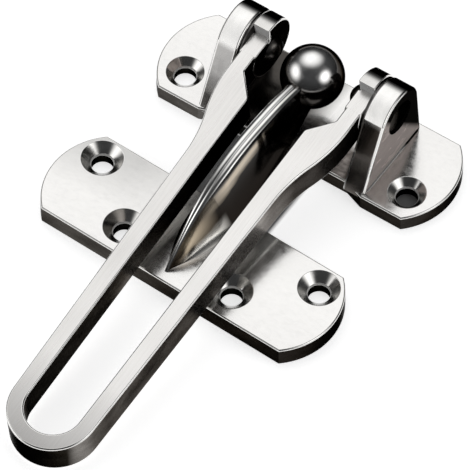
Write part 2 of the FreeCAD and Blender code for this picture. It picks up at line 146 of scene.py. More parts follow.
class Shell:
    """Surface patches of one piece, as triangles with a normal at every corner. A patch's look is the
    number of its finish in the piece's list of finishes."""

    def __init__(self):
        self.corners, self.normals, self.looks, self.spots = [], [], [], []

    def add(self, corners, normals, look, spots=None):
        """Takes triangles (n, 3, 3) and their corner normals, and turns each to face its normals.
        Spots are surface coordinates for a finish that follows the patch."""
        spots = np.zeros(corners.shape[:2] + (2,)) if spots is None else spots
        facing = np.cross(corners[:, 1] - corners[:, 0], corners[:, 2] - corners[:, 0])
        wrong = np.einsum("ij,ij->i", facing, normals.sum(1)) < 0
        corners[wrong] = corners[wrong][:, ::-1]
        normals[wrong] = normals[wrong][:, ::-1]
        spots[wrong] = spots[wrong][:, ::-1]
        self.spots.append(spots)
        self.corners.append(corners)
        self.normals.append(normals)
        self.looks.append(np.full(len(corners), look))

    def grid(self, points, normals, look, spots=None):
        """A patch on a grid (rows, columns, 3): each cell is two triangles. The look is one for all,
        or one for each row of cells."""
        def cells(a):
            """The values at the corners of the cells' triangles."""
            p, q, r, s = a[:-1, :-1], a[1:, :-1], a[1:, 1:], a[:-1, 1:]
            return np.stack([p, q, r, p, r, s], axis=2).reshape(-1, 3, a.shape[-1])
        rows, columns = len(points) - 1, len(points[0]) - 1
        self.add(cells(points), cells(normals), np.repeat(np.broadcast_to(look, rows), 2 * columns),
                 None if spots is None else cells(spots))

    def flat(self, axes, outlines, height, side, look):
        """A flat face between an outer outline and its holes, facing along the axes' third."""
        rings = [[Vector((x, y, 0)) for x, y in ring] for ring in outlines]
        picked = np.array(tessellate_polygon(rings))
        local = raised(np.concatenate(outlines), height)[picked]
        normals = np.zeros_like(local)
        normals[..., 2] = side
        self.add(axes.place(local), axes.turn(normals), look)

    def rim(self, axes, outline, profile, look):
        """An outline carried along a profile of (inset, height, outward, upward) rows."""
        points, normals, insets = (np.concatenate([part, part[:1]])[:, None] for part in outline)
        inset, height, outward, upward = np.asarray(profile, float).T
        local = raised(points - insets * inset[:, None], height)
        facing = raised(normals * outward[:, None], upward)
        self.grid(axes.place(local), axes.turn(facing), look)

    def turned(self, axes, centre, profile, look, count=TURN_STEPS):
        """A profile of (radius, height, outward, upward) rows turned about the axes' third."""
        radius, height, outward, upward = np.asarray(profile, float).T
        angle = np.linspace(0, 2 * np.pi, count + 1)
        angle[-1] = 0.0
        ring = rays(angle)[:, None]
        local = raised(np.asarray(centre) + ring * radius[:, None], height)
        facing = raised(ring * outward[:, None], upward)
        self.grid(axes.place(local), axes.turn(facing), look)

    def piece(self, name, body, node, slot, finishes):
        """Welds the patches where they meet, keeps their normals, and hangs the piece on its body."""
        corners = np.concatenate(self.corners).reshape(-1, 3)
        _, first, index = np.unique(
            np.round(corners, WELD_DIGITS), axis=0, return_index=True, return_inverse=True)
        faces = index.reshape(-1, 3)
        kept = (faces[:, 0] != faces[:, 1]) & (faces[:, 1] != faces[:, 2]) & (faces[:, 0] != faces[:, 2])
        faces = faces[kept]
        looks = np.concatenate(self.looks)[kept]
        spots = np.concatenate(self.spots)[kept]
        normals = np.concatenate(self.normals)[kept].reshape(-1, 3)
        normals /= np.linalg.norm(normals, axis=1, keepdims=True)

        mesh = bpy.data.meshes.new(name)
        mesh.vertices.add(len(first))
        mesh.vertices.foreach_set("co", (corners[first] * MM).astype(np.float32).ravel())
        mesh.loops.add(faces.size)
        mesh.loops.foreach_set("vertex_index", faces.astype(np.int32).ravel())
        mesh.polygons.add(len(faces))
        mesh.polygons.foreach_set("loop_start", np.arange(0, faces.size, 3, dtype=np.int32))
        for finish in finishes:
            mesh.materials.append(finish_table[finish].material)
        mesh.polygons.foreach_set("material_index", looks.astype(np.int32))
        mesh.update(calc_edges=True)
        mesh.polygons.foreach_set("use_smooth", np.ones(len(faces), bool))
        mesh.normals_split_custom_set(normals.tolist())
        mesh.uv_layers.new(name="spots").data.foreach_set("uv", spots.astype(np.float32).ravel())

        piece = bpy.data.objects.new(name, mesh)
        bpy.context.scene.collection.objects.link(piece)
        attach(piece, body)
        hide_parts(node)


def straight(start, finish):
    """A straight run of an outline, its outward normal on the right hand of the way along."""
    start, finish = np.asarray(start, float), np.asarray(finish, float)
    along = (finish - start) / np.linalg.norm(finish - start)
    return np.stack([start, finish]), np.tile([along[1], -along[0]], (2, 1))


def bend(centre, radius, first, last, count=BEND_STEPS):
    """A round run from one angle to another: it bulges out where the angle grows, and in where it
    shrinks."""
    ray = rays(np.linspace(first, last, count))
    return np.asarray(centre) + radius * ray, ray * (1 if last > first else -1)


def eased(corners, radii):
    """A run through corners, each inner one rounded by an arc of its radius."""
    corners = np.asarray(corners, float)
    points, normals = [corners[0]], []
    for before, here, after, radius in zip(corners, corners[1:], corners[2:], radii):
        first = (here - before) / np.linalg.norm(here - before)
        second = (after - here) / np.linalg.norm(after - here)
        turn = math.atan2(first[0] * second[1] - first[1] * second[0], first @ second)
        reach = radius * math.tan(abs(turn) / 2)
        heading = math.atan2(first[1], first[0]) + np.linspace(0, turn, EASE_STEPS)
        side = math.copysign(1, turn)
        right = stacked(np.sin(heading), -np.cos(heading))
        centre = here - first * reach - right[0] * side * radius
        if not normals:
            normals.append(right[0])
        points.extend(centre + right * side * radius)
        normals.extend(right)
    points.append(corners[-1])
    normals.append(normals[-1])
    return np.array(points), np.array(normals)


def joined(*runs):
    """Runs joined to a closed outline: points, outward normals, and mitred inset directions."""
    points = np.concatenate([run[0] for run in runs])
    normals = np.concatenate([run[1] for run in runs])
    insets = normals.copy()
    for last in np.cumsum([len(run[0]) for run in runs]) - 1:
        following = (last + 1) % len(points)
        mitre = normals[last] + normals[following]
        insets[last] = insets[following] = mitre / (1 + normals[last] @ normals[following])
    return points, normals, insets


def round_edge(radius, height, down=False, count=EDGE_STEPS):
    """Profile rows of a quarter round at a top edge, or at a bottom edge."""
    angle = np.linspace(0, np.pi / 2, count)
    inset = radius * (1 - np.sin(angle))
    drop = radius * (1 - np.cos(angle))
    if down:
        return np.column_stack([inset, height + drop, np.sin(angle), -np.cos(angle)])[::-1]
    return np.column_stack([inset, height - drop, np.sin(angle), np.cos(angle)])


def upright(high, low):
    """Profile rows of a plain wall."""
    return [(0, high, 1, 0), (0, low, 1, 0)]


def inset_by(outline, distance):
    """An outline's points moved inwards by a distance, without those that then repeat a neighbour, so
    that a face's outline has no empty edges."""
    points = outline[0] - outline[2] * distance
    gap = np.linalg.norm(points - np.roll(points, 1, axis=0), axis=1)
    return points[gap > SAME_POINT]


def circle(centre, radius):
    """Points round a circle, in step with those of a turned profile."""
    return np.asarray(centre) + radius * rays(np.linspace(0, 2 * np.pi, TURN_STEPS, endpoint=False))


def cone_rows(wide, narrow, high, low):
    """Profile rows of a cone or a cylinder that goes down from `high` to `low`, facing its inside."""
    lean = np.array([-(high - low), wide - narrow])
    lean = lean / np.linalg.norm(lean)
    return [(wide, high, lean[0], lean[1]), (narrow, low, lean[0], lean[1])]


def plate_outline(stepped):
    """A plate's outline: straight edges between two flat arcs, with the front's step if asked."""
    centre = REACH - END_RADIUS
    sweep = math.asin(HALF / END_RADIUS)
    if stepped:
        step_y = SETBACK - HALF
        front = [
            straight((-CORNER, -HALF), (-JOG_HALF, -HALF)),
            straight((-JOG_HALF, -HALF), (-SETBACK_HALF, step_y)),
            straight((-SETBACK_HALF, step_y), (SETBACK_HALF, step_y)),
            straight((SETBACK_HALF, step_y), (JOG_HALF, -HALF)),
            straight((JOG_HALF, -HALF), (CORNER, -HALF)),
        ]
    else:
        front = [straight((-CORNER, -HALF), (CORNER, -HALF))]
    return joined(
        *front,
        bend((centre, 0), END_RADIUS, -sweep, sweep, END_STEPS),
        straight((CORNER, HALF), (-CORNER, HALF)),
        bend((-centre, 0), END_RADIUS, math.pi - sweep, math.pi + sweep, END_STEPS),
    )


def build_plate(shell, axes, outline, thick, holes, sink, looks):
    """A plate with a rounded top edge and countersunk holes. Each countersink has a rounded lip, a cone
    at 45 degrees, and a small round where the cone turns down into the bore. The looks are those of the
    top, edge, wall, cone, bore and that small round."""
    top, edge, wall, cone, bore, rim = looks
    mouth = sink + SINK_LIP
    ring, foot = inset_by(outline, PLATE_EDGE), inset_by(outline, 0)
    shell.flat(axes, [ring] + [circle(hole, mouth) for hole in holes], thick, 1, top)
    shell.flat(axes, [foot] + [circle(hole, HOLE) for hole in holes], 0, -1, wall)
    shell.rim(axes, outline, round_edge(PLATE_EDGE, thick), edge)
    shell.rim(axes, outline, upright(thick - PLATE_EDGE, 0), wall)
    lean = np.linspace(0, np.pi / 4, LIP_STEPS)
    lip = np.column_stack([
        mouth - LIP_ROUND * np.sin(lean), thick - LIP_ROUND * (1 - np.cos(lean)),
        -np.sin(lean), np.cos(lean)])
    low = thick - (sink - HOLE)
    bow = np.linspace(np.pi / 4, np.pi / 2, LIP_STEPS)
    turn = np.column_stack([
        HOLE + SINK_ROUND * (1 - np.sin(bow)), low + SINK_ROUND * (np.cos(bow) + 1 - math.sqrt(2)),
        -np.sin(bow), np.cos(bow)])
    for hole in holes:
        shell.turned(axes, hole, lip, edge)
        shell.turned(axes, hole, cone_rows(lip[-1][0], turn[0][0], lip[-1][1], turn[0][1]), cone)
        shell.turned(axes, hole, turn, rim)
        shell.turned(axes, hole, cone_rows(HOLE, HOLE, turn[-1][1], 0), bore)


def ear_foot(angle, level):
    """How far behind the hinge axis the line that touches an ear's round at an angle comes down to a
    level."""
    return EAR_ROUND * math.cos(angle) + (EAR_ROUND * math.sin(angle) - level) * math.tan(angle)


def ear_outline():
    """An ear's side outline about the hinge axis: a foot, a steep back, a round top, a long slope."""
    foot = BRACKET_TOP - EAR_SUNK - AXIS[2]
    front, back = EAR_ROUND * rays(EAR_FRONT), EAR_ROUND * rays(EAR_BACK)
    front_foot, back_foot = (ear_foot(EAR_FRONT, foot), foot), (ear_foot(EAR_BACK, foot), foot)
    return joined(
        straight(front_foot, back_foot),
        straight(back_foot, back),
        bend(ON_AXIS, EAR_ROUND, EAR_BACK, EAR_FRONT, EAR_STEPS),
        straight(front, front_foot),
    )


def soften(normals, stop, count):
    """Turns the last normals before `stop` back towards straight up, so that a worn round looks
    flatter."""
    bent = normals[stop - count:stop]
    bent[:, 0] *= np.linspace(1.0, EAR_SOFT, count)
    bent /= np.linalg.norm(bent, axis=1, keepdims=True)


def build_foot(shell, side, look):
    """The small hollow round where an ear's outer face meets the plate: a quarter circle carried from
    the foot of the ear's slope to the foot of its back, its radius running out at both ends."""
    front, back = (AXIS[1] + ear_foot(a, BRACKET_TOP - AXIS[2]) for a in (EAR_FRONT, EAR_BACK))
    along = np.array([front + FOOT_START, front + FOOT_FULL, back - FOOT_FULL, back - FOOT_START])[:, None]
    radius = FOOT_ROUND * np.array([0, 1, 1, 0])[:, None]
    ray = rays(np.linspace(math.pi, 1.5 * math.pi, FOOT_STEPS))
    points = stacked(
        side * (EAR_OUTER + radius * (1 + ray[:, 0])), along, BRACKET_TOP + radius * (1 + ray[:, 1]))
    facing = stacked(-side * ray[:, 0], np.zeros_like(along), -ray[:, 1])
    shell.grid(points, facing, look)


def build_ear(shell, side, looks):
    """One ear of the bracket, its outer face sunk round the pin's head. On the left ear the walls of the
    recess and the bore go up instead of down, so they face away from the axis."""
    face, edge, rim, inner = looks
    outline = ear_outline()
    soften(outline[1], len(outline[1]) - 2, EAR_SOFT_STEPS)
    outer, inside, floor = side * EAR_OUTER, side * EAR_INNER, side * RECESS_FLOOR
    low, high = sorted((outer, inside))
    ring = inset_by(outline, EAR_EDGE)
    shell.flat(HINGE_SIDE, [ring, circle(ON_AXIS, RECESS_RADIUS)], outer, side, face)
    shell.flat(HINGE_SIDE, [ring, circle(ON_AXIS, EAR_BORE)], inside, -side, inner)
    shell.rim(HINGE_SIDE, outline, round_edge(EAR_EDGE, high), edge)
    shell.rim(HINGE_SIDE, outline, upright(high - EAR_EDGE, low + EAR_EDGE), rim)
    shell.rim(HINGE_SIDE, outline, round_edge(EAR_EDGE, low, down=True), edge)
    build_foot(shell, side, edge)
    for rows in (
        cone_rows(RECESS_RADIUS, RECESS_RADIUS, outer, floor),
        [(RECESS_RADIUS, floor, 0, side), (EAR_BORE, floor, 0, side)],
        cone_rows(EAR_BORE, EAR_BORE, floor, inside),
    ):
        shell.turned(HINGE_SIDE, ON_AXIS, rows, inner)


def build_bracket():
    """The hinge bracket: a stepped plate with two countersunk holes, and its two ears."""
    finishes = ("bracket_top", "edge", "plate_wall", "sink", "hole", "ear_face", "ear_rim", "ear_edge",
                "sink_rim")
    top, edge, wall, cone, bore, face, rim, bright, lip = range(len(finishes))
    shell = Shell()
    holes = [(-OUTER_HOLE, BRACKET_HOLE_Y), (OUTER_HOLE, BRACKET_HOLE_Y)]
    build_plate(shell, PLAN, plate_outline(True), BRACKET_TOP, holes, BRACKET_SINK,
                (top, edge, wall, cone, bore, lip))
    for side in (1, -1):
        build_ear(shell, side, (face, bright, rim, wall))
    shell.piece("bracket_casting", "mounted", "hinge_bracket", "satin_nickel", finishes)


def bar_outline():
    """The bar in plan: two arms that flare out from a long loop, with a slot that opens to a window."""
    run, rise = (FLARE_Y - WAIST_Y) / 2, (ARM - WAIST) / 2
    sweep = (run * run + rise * rise) / (2 * rise)
    swing = math.asin(run / sweep)
    loop_y, slot_y = LOOP - LENGTH, LOOP_WALL - LENGTH + SLOT
    inner = [(WINDOW, 0), (WINDOW, WINDOW_Y), (STEP, STEP_Y), (SLOT, slot_y)]
    mirrored = [(-x, y) for x, y in inner[::-1]]
    pi = math.pi
    return joined(
        straight((-ARM, 0), (-ARM, FLARE_Y)),
        bend((sweep - ARM, FLARE_Y), sweep, pi, pi + swing),
        bend((-WAIST - sweep, WAIST_Y), sweep, swing, 0),
        straight((-WAIST, WAIST_Y), (-LOOP, loop_y)),
        bend((0, loop_y), LOOP, pi, 2 * pi, LOOP_STEPS),
        straight((LOOP, loop_y), (WAIST, WAIST_Y)),
        bend((WAIST + sweep, WAIST_Y), sweep, pi, pi - swing),
        bend((ARM - sweep, FLARE_Y), sweep, -swing, 0),
        straight((ARM, FLARE_Y), (ARM, 0)),
        straight((ARM, 0), (WINDOW, 0)),
        eased(inner, (WINDOW_ROUND, STEP_ROUND)),
        bend((0, slot_y), SLOT, 0, -pi, SLOT_STEPS),
        eased(mirrored, (STEP_ROUND, WINDOW_ROUND)),
        straight((-WINDOW, 0), (-ARM, 0)),
    )


def knuckle_outline():
    """A knuckle's side outline: a disc cut away in front down to the arm's top, with a small groove
    before the wall that is left standing."""
    wall_top = math.sqrt(KNUCKLE ** 2 - WALL_Y ** 2)
    flat = TOP + FLAT_RISE
    front = (-math.sqrt(KNUCKLE ** 2 - flat ** 2), flat)
    start = math.atan2(front[1], front[0]) - 2 * math.pi
    finish = math.atan2(wall_top, WALL_Y)
    floor = TOP - GROOVE_DEPTH
    return joined(
        bend(ON_AXIS, KNUCKLE, start, finish, KNUCKLE_STEPS),
        straight((WALL_Y, wall_top), (WALL_Y, floor)),
        straight((WALL_Y, floor), (GROOVE_Y, floor)),
        straight((GROOVE_Y, floor), (GROOVE_Y, flat)),
        straight((GROOVE_Y, flat), front),
    )


def build_bar():
    """The swing bar: brushed top, bright edges, dark walls, and its two knuckles. A knuckle's outline
    ends in four straight runs of two points: standing wall, groove floor, groove front and flat. The
    wall's normals are the softer ones of KNUCKLE_BLEND, and the flat has the bar's top finish."""
    finishes = ("bar_top", "bar_edge", "bar_wall", "knuckle", "knuckle_step", "bar_under")
    top, edge, wall, knuckle, step, under = range(len(finishes))
    shell = Shell()
    outline = bar_outline()
    ring = inset_by(outline, BAR_EDGE)
    shell.flat(BAR_PLAN, [ring], TOP, 1, top)
    shell.flat(BAR_PLAN, [ring], -TOP, -1, under)
    shell.rim(BAR_PLAN, outline, round_edge(BAR_EDGE, TOP), edge)
    shell.rim(BAR_PLAN, outline, upright(TOP - BAR_EDGE, BAR_EDGE - TOP), wall)
    shell.rim(BAR_PLAN, outline, round_edge(BAR_EDGE, -TOP, down=True), under)
    disc = knuckle_outline()
    disc[1][-8:-6] = KNUCKLE_BLEND
    around = np.full(len(disc[0]), knuckle)
    around[-8:] = step
    around[-2:] = top
    ring = inset_by(disc, KNUCKLE_EDGE)
    for side in (1, -1):
        low, high = sorted((side * KNUCKLE_INNER, side * KNUCKLE_OUTER))
        for level, facing in ((high, 1), (low, -1)):
            shell.flat(BAR_SIDE, [ring, circle(ON_AXIS, KNUCKLE_BORE)], level, facing, wall)
        shell.rim(BAR_SIDE, disc, round_edge(KNUCKLE_EDGE, high, count=KNUCKLE_EDGE_STEPS), edge)
        shell.rim(BAR_SIDE, disc, upright(high - KNUCKLE_EDGE, low + KNUCKLE_EDGE), around)
        shell.rim(BAR_SIDE, disc, round_edge(KNUCKLE_EDGE, low, True, KNUCKLE_EDGE_STEPS), edge)
        shell.turned(BAR_SIDE, ON_AXIS, cone_rows(KNUCKLE_BORE, KNUCKLE_BORE, high, low), wall)
    shell.piece("bar_casting", "bar", "swing_bar", "bar_nickel", finishes)


def keel_rows(along):
    """The keel's ridge height, ridge half width, foot half width and foot height at distances from
    the plate's front edge: the ridge climbs on a power curve to its crest and dips to the ball; the
    foot swells like a bow and then narrows while it lifts off behind the plate."""
    climb = np.clip((KEEL_CREST - along) / (KEEL_CREST - KEEL_TIP), 0, 1)
    dip = np.clip((along - KEEL_CREST) / (KEEL_NECK - KEEL_CREST), 0, None)
    ridge = CREST_HEIGHT - (CREST_HEIGHT - KEEPER_TOP) * climb ** CLIMB_POWER - NECK_DIP * dip ** 2
    swell = np.clip((KEEL_WIDEST - along) / (KEEL_WIDEST - KEEL_TIP), 0, 1)
    beyond = np.clip((along - KEEL_WIDEST) / (KEEL_NECK - KEEL_WIDEST), 0, None)
    foot = FOOT_HALF - FOOT_GROWTH * swell ** SWELL_POWER - FOOT_TAPER * beyond
    bottom = KEEL_ROOT + (NECK_BOTTOM - KEEL_ROOT) * beyond
    full = np.clip((along - KEEL_TIP) / (KEEL_WIDEST - KEEL_TIP), 0, 1)
    crown = RIDGE_TIP + RIDGE_GROWTH * full
    return ridge, crown, foot, bottom


def hollow_arcs(ridge, crown, foot, bottom, steps):
    """One flank's section at each station: a hollow arc from the ridge's edge to the foot, whose radius
    is a fixed share of the straight distance between them. Gives its x and z in steps from 0 to 1."""
    drop, spread = ridge - bottom, foot - crown
    chord = np.hypot(drop, spread)
    radius = KEEL_HOLLOW * chord
    reach = np.sqrt(radius ** 2 - chord ** 2 / 4)
    centre_x = (crown + foot) / 2 + drop / chord * reach
    centre_z = (ridge + bottom) / 2 + spread / chord * reach
    first = np.arctan2(ridge - centre_z, crown - centre_x)
    last = np.arctan2(bottom - centre_z, foot - centre_x)
    last = np.where(last < first, last + 2 * np.pi, last)
    angle = first[:, None] + (last - first)[:, None] * steps
    x = centre_x[:, None] + radius[:, None] * np.cos(angle)
    z = centre_z[:, None] + radius[:, None] * np.sin(angle)
    return x, z


def build_keel(shell, ridge_look, flank_look, far_look):
    """The keel as a grid of stations, closest at its tip, and flank steps: two hollow flanks, a ridge, an
    underside and two ends. The ridge carries two fine beads, half sine waves across it, with a groove
    between them, and they die out at both ends."""
    def lay(points, facing, look, spots=None):
        """Puts a patch of the keel in the keeper's axes."""
        shell.grid(KEEPER_PLAN.place(points), KEEPER_PLAN.turn(facing), look, spots)

    nose = KEEL_TIP + KEEL_NOSE * np.linspace(0, 1, NOSE_STATIONS) ** NOSE_POWER
    rest = np.linspace(KEEL_TIP + KEEL_NOSE, KEEL_END, KEEL_STATIONS)[1:]
    along = np.concatenate([nose, rest])
    steps = np.linspace(0, 1, FLANK_STEPS)
    ridge, crown, foot, bottom = keel_rows(along)
    x, z = hollow_arcs(ridge, crown, foot, bottom, steps)
    y = (along - HALF)[:, None]
    for side, look in ((1, flank_look), (-1, far_look)):
        points = stacked(side * x, y, z)
        normals = np.cross(np.gradient(points, along, axis=0), np.gradient(points, axis=1)) * -side
        normals /= np.linalg.norm(normals, axis=2, keepdims=True)
        normals *= np.sign((normals[..., 0] * side).mean())
        lay(points, normals, look, stacked(along[:, None] / KEEL_SPAN, steps))

    across = np.linspace(-1, 1, RIDGE_STEPS)
    fade = np.clip(np.minimum(along - along[0], along[-1] - along) / BEAD_FADE, 0, 1)
    swell = BEAD * fade[:, None]
    bead, rise = np.abs(np.sin(np.pi * across)), np.pi * np.cos(np.pi * across) * np.sign(across)
    slope = np.gradient(ridge, along)[:, None]
    lay(stacked(crown[:, None] * across, y, ridge[:, None] + crown[:, None] * swell * bead),
        stacked(RIDGE_LEAN * across - swell * rise, -slope, 1.0), ridge_look)

    under = stacked(foot[:, None] * np.linspace(-1, 1, UNDER_STEPS), y, bottom[:, None])
    lay(under, np.broadcast_to(np.array(DOWN, float), under.shape), flank_look)
    for row, way in ((0, FRONT), (-1, BACK)):
        end = stacked(stacked(-x[row], x[row]), along[row] - HALF, z[row][:, None])
        lay(end, np.broadcast_to(np.array(way, float), end.shape), flank_look)


def build_keeper():
    """The keeper: a plate with four countersunk holes, its keel, and the ball, a turned half circle."""
    finishes = ("keeper_top", "edge", "keeper_wall", "sink", "hole", "keel_ridge", "keel_flank", "ball",
                "keel_far", "sink_rim")
    top, edge, wall, cone, bore, ridge, flank, ball, far, lip = range(len(finishes))
    shell = Shell()
    holes = [(-OUTER_HOLE, KEEPER_OUTER_Y), (OUTER_HOLE, KEEPER_OUTER_Y),
             (-INNER_HOLE, KEEPER_INNER_Y), (INNER_HOLE, KEEPER_INNER_Y)]
    build_plate(shell, KEEPER_PLAN, plate_outline(False), KEEPER_TOP, holes, KEEPER_SINK,
                (top, edge, wall, cone, bore, lip))
    build_keel(shell, ridge, flank, far)
    lift = np.linspace(-np.pi / 2, np.pi / 2, BALL_ROWS)
    rows = np.column_stack([
        BALL * np.cos(lift), BALL_HEIGHT + BALL * np.sin(lift), np.cos(lift), np.sin(lift)])
    rows[[0, -1], 0] = 0.0
    shell.turned(KEEPER_PLAN, (0, BALL_AT - HALF), rows, ball, BALL_STEPS)
    shell.piece("keeper_casting", "mounted", "ball_keeper", "keeper_nickel", finishes)


def build_hinge_piece(side, runs, piece, node, slot, finish):
    """A piece turned about the hinge axis: runs of profile rows for the right side, mirrored on the
    left."""
    shell = Shell()
    for rows in runs:
        mirrored = np.asarray(rows, float) * [1, side, 1, side]
        shell.turned(HINGE_SIDE, ON_AXIS, mirrored, 0, SMALL_TURN_STEPS)
    name = "right" if side > 0 else "left"
    shell.piece(f"{name}_{piece}", "mounted", f"{name}_{node}", slot, [finish])


def build_pin(side):
    """A hinge pin: a chamfered head sunk in the ear, a shank, and a domed end that is part of a ball."""
    face, seat, dome = RECESS_FLOOR + PIN_HEAD_TALL, RECESS_FLOOR, KNUCKLE_INNER - DOME_GAP
    bulge = (PIN_DOME ** 2 + PIN_DOME_TALL ** 2) / (2 * PIN_DOME_TALL)
    lean = np.linspace(0, math.asin(PIN_DOME / bulge), DOME_ROWS)
    cap = np.column_stack([
        bulge * np.sin(lean), dome - PIN_DOME_TALL + bulge * (1 - np.cos(lean)),
        np.sin(lean), -np.cos(lean)])
    flat, shoulder = PIN_HEAD - PIN_CHAMFER, face - PIN_CHAMFER
    runs = [
        [(0, face, 0, 1), (flat, face, 0, 1)],
        [(flat, face, 0.7, 0.7), (PIN_HEAD, shoulder, 0.7, 0.7)],
        [(PIN_HEAD, shoulder, 1, 0), (PIN_HEAD, seat, 1, 0)],
        [(PIN_HEAD, seat, 0, -1), (PIN_SHANK, seat, 0, -1)],
        [(PIN_SHANK, seat, 1, 0), (PIN_SHANK, dome, 1, 0)],
        [(PIN_SHANK, dome, 0, 1), (PIN_DOME, dome, 0, 1)],
        cap[::-1],
    ]
    build_hinge_piece(side, runs, "pin", "hinge_pin", "pin_steel", "pin")


def build_washer(side):
    """A thin flat ring between an ear and a knuckle."""
    outer, inner = EAR_INNER, EAR_INNER - WASHER_THICK
    runs = [
        [(WASHER, outer, 0, 1), (WASHER_BORE, outer, 0, 1)],
        [(WASHER, inner, 0, -1), (WASHER_BORE, inner, 0, -1)],
        [(WASHER, outer, 1, 0), (WASHER, inner, 1, 0)],
        [(WASHER_BORE, outer, -1, 0), (WASHER_BORE, inner, -1, 0)],
    ]
    build_hinge_piece(side, runs, "ring", "washer", "washer_steel", "washer")


class Finish:
    """A metal finish under construction: node helpers over one material's tree."""

    def __init__(self, name):
        self.material = bpy.data.materials.new(name)
        self.material.use_nodes = True
        self.tree = self.material.node_tree
        self.shader = self.tree.nodes["Principled BSDF"]
        self.surface(Metallic=1.0)
        self.where = self.tree.nodes.new("ShaderNodeTexCoord").outputs["Object"]

    def fill(self, node, inputs):
        """Gives a node's inputs a value or a link each. An input goes by its name, with _ for a space,
        or by its number, as i0, i1 and so on."""
        for key, value in inputs.items():
            socket = node.inputs[int(key[1:]) if key[1:].isdigit() else key.replace("_", " ")]
            if isinstance(value, bpy.types.NodeSocket):
                self.tree.links.new(value, socket)
            else:
                socket.default_value = value

    def surface(self, **inputs):
        """Gives the shader's own inputs a value or a link each."""
        self.fill(self.shader, inputs)

    def node(self, kind, settings=(), **inputs):
        """A new node with its settings and inputs."""
        made = self.tree.nodes.new(kind)
        for key, value in dict(settings).items():
            setattr(made, key, value)
        self.fill(made, inputs)
        return made

    def noise(self, scale, detail=3.0, rough=0.55):
        """Noise with its own scale per millimetre along each axis."""
        mapped = self.node("ShaderNodeMapping", Vector=self.where, Scale=tuple(s / MM for s in scale))
        return self.node("ShaderNodeTexNoise", Vector=mapped.outputs[0], Scale=1.0, Detail=detail,
                         Roughness=rough).outputs["Fac"]

    def spread(self, value, low, high, start=0.3, stop=0.7):
        """A value from one range stretched over another, held at its ends."""
        return self.node("ShaderNodeMapRange", i0=value, i1=start, i2=stop, i3=low, i4=high).outputs[0]

    def math(self, operation, first, second):
        """A sum, product or the like of two amounts."""
        return self.node("ShaderNodeMath", {"operation": operation}, i0=first, i1=second).outputs[0]

    def both(self, first, second):
        """Two amounts multiplied, so that the result is high only where both are."""
        return self.math("MULTIPLY", first, second)

    def window(self, value, opens, full, fades, shut):
        """An amount that rises to 1 between the first two of four values, and falls between the others."""
        return self.both(self.spread(value, 0, 1, opens, full), self.spread(value, 1, 0, fades, shut))

    def along(self, direction, start, stop):
        """How far a place lies along a direction, from 0 at `start` to 1 at `stop` millimetres."""
        reach = self.node("ShaderNodeVectorMath", {"operation": "DOT_PRODUCT"}, i0=self.where, i1=direction)
        return self.spread(reach.outputs["Value"], 0.0, 1.0, start * MM, stop * MM)

    def blend(self, amount, first, second):
        """A mix of two tones, each a link or a plain colour, by an amount from 0 to 1."""
        first, second = ((*tone, 1) if isinstance(tone, tuple) else tone for tone in (first, second))
        return self.node("ShaderNodeMix", {"data_type": "RGBA"}, i0=amount, i6=first, i7=second).outputs[2]

    def ramp(self, value, stops):
        """A colour that changes through given stops as a value goes from 0 to 1."""
        made = self.node("ShaderNodeValToRGB", Fac=value)
        band = made.color_ramp.elements
        for place, _ in stops[2:]:
            band.new(place)
        for element, (place, tone) in zip(band, sorted(stops)):
            element.position, element.color = place, (*tone, 1)
        return made.outputs["Color"]

    def shade(self, tone, amount):
        """A colour darkened or lightened by a factor that changes over the surface."""
        made = self.node("ShaderNodeVectorMath", {"operation": "SCALE"}, i0=tone, Scale=amount)
        return made.outputs["Vector"]

    def bump(self, height, strength, distance):
        """A fine relief that follows a height."""
        made = self.node("ShaderNodeBump", Height=height, Strength=strength, Distance=distance)
        self.surface(Normal=made.outputs[0])


# tones, gloss and grain that several finishes share
BLACK, BRIGHT, NICKEL = (0.012, 0.011, 0.01), (0.8, 0.79, 0.77), (0.85, 0.84, 0.82)
DARK_GREY = (0.12, 0.114, 0.107)
EDGE_ROUGH, WALL_ROUGH = 0.16, 0.26
BAR_GRAIN, MATT_GRAIN = (1.8, 0.05, 0.4), (0.6, 0.6, 0.6)
GRAIN_DEPTH, WIPE_DEPTH = 0.00002, 0.00003
# the polished rounds of knuckles and ears pass into a painted dark reflection towards their back
ROUND_FADE = (BACK, 3.4, 5.4)


def satin(name, light, dark, rough, grain, relief=0.06, metal=1.0):
    """Brushed satin nickel: fine grain lines along one way, and slow cloudy changes of tone. A matt,
    blasted one has less `metal`."""
    made = Finish(name)
    lines = made.noise(grain, detail=4.0, rough=0.6)
    clouds = made.noise((0.03, 0.03, 0.03), detail=2.0)
    amount = made.math("ADD", made.spread(lines, 0.0, 0.55), made.spread(clouds, 0.0, 0.45))
    made.tone = made.blend(amount, dark, light)
    made.surface(Metallic=metal, Base_Color=made.tone,
                 Roughness=made.spread(lines, rough - 0.05, rough + 0.06))
    made.bump(lines, relief, GRAIN_DEPTH)
    return made


def dark_wall(name, stops, rough, way, start, stop, right=None):
    """Walls in a darker, smoother nickel whose tone is painted reflection and shade: it goes through stops
    along one way, and through other stops on a wall that lies far to the right."""
    made = Finish(name)
    clouds = made.noise((0.09, 0.09, 0.2))
    specks = made.noise((2.5, 2.5, 2.5), detail=2.0)
    place = made.along(way, start, stop)
    tone = made.ramp(place, stops)
    if right:
        tone = made.blend(made.along(RIGHT, 7.5, 9.5), tone, made.ramp(place, right))
    made.surface(Specular_Tint=(0.12, 0.115, 0.11, 1),
                 Base_Color=made.shade(tone, made.spread(clouds, 0.7, 1.35)),
                 Roughness=made.spread(specks, rough - 0.04, rough + 0.08))
    made.bump(specks, 0.05, GRAIN_DEPTH)
    return made


